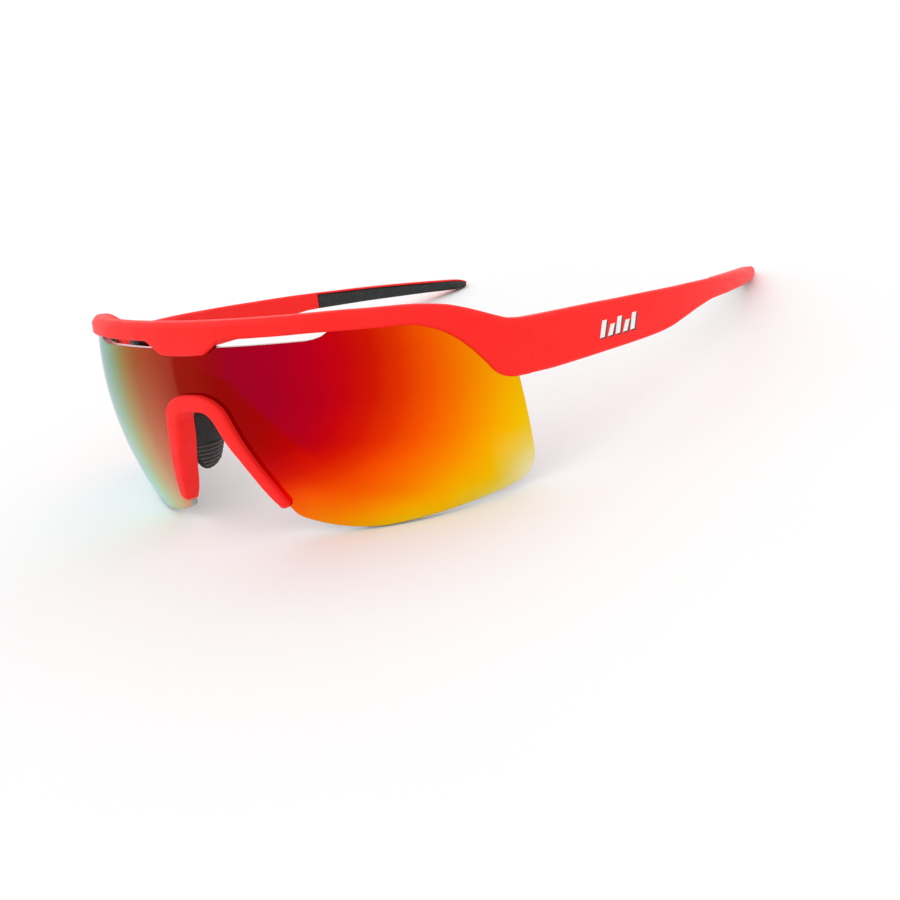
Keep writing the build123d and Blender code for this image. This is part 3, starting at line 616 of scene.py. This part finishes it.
# ---------------------------------------------------------------- nose bridge: flange on the lens and walls through the notch
OUTER = [(0, -16.45), (3.0, -16.6), (5.6, -17.3), (8.0, -18.65), (9.4, -20.2), (10.2, -22.1), (10.9, -24.3), (11.8, -26.9), (13.2, -30.5), (14.95, -34.6), (16.3, -37.7), (17.15, -39.9), (17.95, -41.9)]
INNER = [(0, -20.4), (1.8, -20.42), (3.4, -20.65), (4.7, -21.35), (5.6, -22.4), (6.2, -23.7), (6.85, -25.5), (7.9, -28.1), (9.75, -31.5), (11.7, -35.6), (13.05, -38.6), (14.35, -41.1), (15.6, -43.1)]
WALL = [(0, -18.95), (2.3, -19.0), (4.4, -19.4), (6.1, -20.4), (7.2, -21.8), (7.85, -23.4), (8.45, -25.4), (9.45, -28.0), (11.3, -31.6), (13.3, -35.6), (14.7, -38.5), (15.8, -40.7), (16.8, -42.35)]
wall_rear = curve([-46, -41.5, -36.2, -28.4, -21.8, -17], [12.6, 11.9, 10.5, 8.2, 6.5, 5.6])
kk = list(range(len(OUTER)))
gx = [curve(kk, [p[0] for p in L]) for L in (OUTER, INNER, WALL)]
gz = [curve(kk, [p[1] for p in L]) for L in (OUTER, INNER, WALL)]


def s_of(x):
    lo_, hi_ = 0.0, 40.0
    for _ in range(24):
        mid = (lo_ + hi_) / 2
        if path(mid)[0] < abs(x):
            lo_ = mid
        else:
            hi_ = mid
    return math.copysign(lo_, x)


def nose_ring(t):
    k, sg = abs(t), (1 if t >= 0 else -1)
    O, I, W = [(sg * gx[i](k), gz[i](k)) for i in range(3)]
    so, si, sw = s_of(O[0]), s_of(I[0]), s_of(W[0])
    zr = lambda p: np.array([p[0], wall_rear(p[1]), p[1]])
    a, b, c = lens_point(so, O[1], -0.05), lens_point(so, O[1], 1.6), lens_point(si, I[1], 1.7)
    c[0], a[0], b[0] = I[0], O[0], O[0]
    dd, e = zr(I), zr(W)
    f = lens_point(sw, W[1], -0.05); f[0] = W[0]
    return rounded([a, b, c, dd, e, f], [0.1, 0.75, 1.05, 0.7, 0.45, 0.15], 6)


verts, faces = [], []
ts = frange(-12, 12, 0.12)
rings = [nose_ring(t) for t in ts]
# rounded feet: the last rings run on past the end and draw in
def foot(sign):
    base = np.array(nose_ring(12 * sign)); prev = np.array(nose_ring(11.5 * sign))
    dirn = (base.mean(0) - prev.mean(0)); dirn /= np.linalg.norm(dirn)
    outr = []
    for i in range(1, 6):
        th = i / 6 * pi / 2
        c = base.mean(0)
        outr.append(inset(base, 0.75 * (1 - cos(th))) + dirn * 0.75 * sin(th))
    return outr


rings = foot(-1)[::-1] + rings + foot(1)
loft(rings, verts, faces)
build("nose_bridge_skin", verts, faces, [RED], "front", ["nose_bridge"], smooth=45)

# ---------------------------------------------------------------- nose pads: soft rubber, ribbed on the face that touches the nose
pad_top, pad_low = np.array((6.5, -22.6)), np.array((13.4, -38.2))
pd = (pad_low - pad_top) / np.linalg.norm(pad_low - pad_top)
pn = np.array((-pd[1], pd[0]))
splay = curve([5.0, 13.5, 22.0], [-0.2, 0.0, 3.4])
pad_front = curve([-37.1, -36.95, -36.4, -35.2, -33.6, -31, -26, -23, -22, -21.5], [14.3, 12.9, 11.8, 10.6, 9.3, 8.1, 6.9, 6.5, 7.0, 9.5])
pad_back = curve([-37.1, -36.95, -36.5, -35.4, -33.2, -30, -26, -23.5, -22.1, -21.5], [14.5, 15.8, 17.2, 18.9, 20.1, 20.6, 20.2, 18.4, 15.2, 10.0])


lean = curve([-37.2, -36, -33, -30, -21], [1.2, 1.1, 0.4, 0, 0])


def pad_point(sg, y, z, n):
    nn = n + splay(y)
    dd = (z - pad_top[1] - nn * pn[1]) / pd[1]
    return np.array([sg * (pad_top[0] + dd * pd[0] + nn * pn[0]), y, z])


for side, sg in (("left", 1), ("right", -1)):
    verts, faces = [], []
    NZ, NY = 190, 30
    rows, crest = [], []
    for i in range(NZ + 1):
        u = i / NZ
        z = -21.5 - 15.6 * u
        y0, y1 = pad_front(z) + lean(z), pad_back(z) + lean(z)
        endf = max(0.15, min(1.0, 4 * u * (1 - u) / 0.36) ** 0.5)
        ring = []
        for j in range(2 * NY):
            th = 2 * pi * j / (2 * NY)
            cy, sy = cos(th), sin(th)
            yy = (y0 + y1) / 2 + (y1 - y0) / 2 * math.copysign(abs(cy) ** 0.7, cy)
            half = 1.45 * endf * abs(sy) ** 0.7
            n = 0.7 + (half if sy > 0 else -half)
            if sy < 0:
                w = min(1.0, max(0.0, (-29.6 - z) / 0.6)) * min(1.0, max(0.0, (z + 36.7) / 0.5)) * min(1.0, max(0.0, abs(sy) * 2.2 - 0.4))
                wave = 0.5 + 0.5 * cos(2 * pi * (z - 0.012 * (yy - 14.5) ** 2) / 1.0)
                n += 0.42 * w * wave ** 1.4
                # crest faces take the lighter material, a painted glint along each rib
                crest.append(1 if w * wave > 0.80 else 0)
            else:
                crest.append(0)
            ring.append(pad_point(sg, yy, z, n))
        rows.append(ring)
    loft(rows, verts, faces)
    build("nose_pad_soft_" + side, verts, faces, [PAD, RIB_GLINT], "front", ["nose_pad_" + side], smooth=60, face_mat=crest[:NZ * 2 * NY] + [0, 0])

# ---------------------------------------------------------------- temples and grips
GRIP0, LIP = 153.0, 0.45
g_depth = curve([150, 156, 190, 205], [-1.55, -1.55, -1.6, -1.5])


def temple_ring(sg):
    def ring(s):
        xo, xi, zt, zb = t_out(s), t_in(s), t_top(s), t_bottom(s)
        h = zt - zb
        c = min(0.8, 0.22 * (xo - xi), 0.25 * h)
        w = min(1.0, max(0.0, (s - (GRIP0 - 0.25)) / 0.2))
        g = xi + (g_depth(s) + 0.0 - xi) * w
        lip = c + 0.25 + (LIP - c - 0.25) * w if LIP < c + 0.25 else LIP
        ci = c + (0.16 - c) * w
        cb = c + (0.12 - c) * w
        pts = [(xo - c, zb), (xo, zb + c), (xo, zt - c), (xo - c, zt), (xi + ci, zt), (xi, zt - ci), (xi, zt - lip + 0.03), (g, zt - lip - 0.03), (g, zb + cb), (g + cb, zb)]
        rr = 0.9 * c / 0.8
        r_in = 0.8 * c / 0.8 * (1 - w) + 0.15 * w
        rad = [rr, rr, rr, rr, r_in, r_in, 0.08, 0.08, r_in if w < 1 else 0.1, r_in if w < 1 else 0.1]
        return [across(sg * s, v, z) for v, z in rounded(pts, rad, 4)]
    return ring


swell_in = curve([150, 190, 195, 198.5, 201.5, 203.6, 205], [0, 0, -0.5, -1.2, -1.3, -0.8, -0.1])   # the rubber thickens inward near the tip


def grip_ring(sg):
    def ring(s):
        xi, zt, zb = t_in(s) + swell_in(s), t_top(s), t_bottom(s)
        g = g_depth(s)
        top = zt - LIP - 0.05
        h = top - zb
        w = g - xi
        c = min(0.55, 0.4 * w, 0.3 * h)
        pts = [(g, zb + 0.02), (g, top), (xi + c, top), (xi, top - c), (xi, zb + c), (xi + c, zb + 0.02)]
        return [across(sg * s, v, z) for v, z in rounded(pts, [0.06, 0.06, 0.5, 0.5, 0.5, 0.5], 4)]
    return ring


for side, sg in (("left", 1), ("right", -1)):
    body = "temple_" + side
    st = sorted(set([round(v, 3) for v in frange(JOINT + SEAM, 205, 0.9)] + [152.7, 152.75, 152.8, 152.85, 152.9, 152.95, 153.0, 153.3, 201.5, 202.3, 203.0, 203.6, 204.0, 204.4, 204.7]))
    verts, faces = [], []
    loft(tube(st, temple_ring(sg), 0.02, 0.5), verts, faces)
    build("temple_skin_" + side, verts, faces, [RED], body, ["temple_" + side])
    st = sorted(set([round(v, 3) for v in frange(153.04, 204.8, 0.9)] + [201.5, 202.3, 203.0, 203.6, 204.0, 204.4]))
    verts, faces = [], []
    loft(tube(st, grip_ring(sg), 0.35, 0.35), verts, faces)
    build("temple_grip_soft_" + side, verts, faces, [RUB], body, ["temple_grip_" + side])
    # black drop edge of the printed mark
    verts, faces = [], []
    for s0, z0, z1 in [(101.0, -15.0, -11.4), (103.6, -15.0, -12.6), (106.2, -15.0, -11.4), (108.8, -15.0, -12.6), (111.4, -15.0, -11.4)]:
        b = len(verts)
        for vv in (-0.2, 0.035):
            for du, zz in ((0.42, z0 - 0.34), (1.92, z0 - 0.34), (1.5 + 1.3 + 0.42, z1 - 0.34), (1.3 + 0.42, z1 - 0.34)):
                s1 = s0 + du
                verts.append(across(sg * s1, t_out(s1) + vv, zz))
        faces += [(b, b + 1, b + 2, b + 3), (b + 4, b + 7, b + 6, b + 5)] + [(b + j, b + (j + 1) % 4, b + 4 + (j + 1) % 4, b + 4 + j) for j in range(4)]
    build("mark_edge_" + side, verts, faces, [BLACK], body, smooth=20)

# ---------------------------------------------------------------- floor
me = bpy.data.meshes.new("floor")
me.from_pydata([(-4, -4, 0), (4, -4, 0), (4, 4, 0), (-4, 4, 0)], [], [(0, 1, 2, 3)])
floor = bpy.data.objects.new("floor", me)
scene.collection.objects.link(floor)
FL = Mat("floor_pale")
FL.link(FL.mix(FL.span(FL.noise(6, 2), 0, 1), (0.955, 0.955, 0.955), (0.975, 0.975, 0.975)), FL.b.inputs["Base Color"])
FL.b.inputs["Roughness"].default_value = 0.7
FL.b.inputs["Specular IOR Level"].default_value = 0.2
me.materials.append(FL.m)
